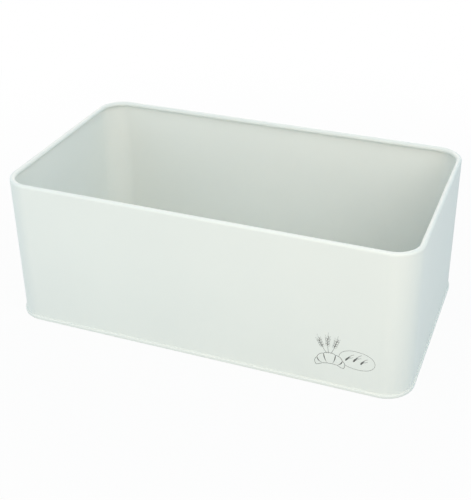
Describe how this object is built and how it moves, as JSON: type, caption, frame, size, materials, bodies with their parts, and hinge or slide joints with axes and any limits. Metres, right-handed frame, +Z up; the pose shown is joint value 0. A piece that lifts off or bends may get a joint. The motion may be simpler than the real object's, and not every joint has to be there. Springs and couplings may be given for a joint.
{
  "type": "bread box",
  "caption": "Open rectangular bread box of coated sheet metal with rounded corners, a rolled rim and a folded seam round its foot.",
  "frame": {"origin": "middle of the base, on the surface that the box stands on", "axes": "+X along the length, to the right seen from the printed front; the front faces -Y; +Z up"},
  "size_m": [0.3626, 0.2026, 0.135],
  "materials": {
    "coat": "satin off-white coat on steel sheet",
    "print": "thin dark grey ink on the coat"
  },
  "bodies": {
    "root": {"wall": "coat", "bottom_panel": "coat"}
  },
  "joints": []
}
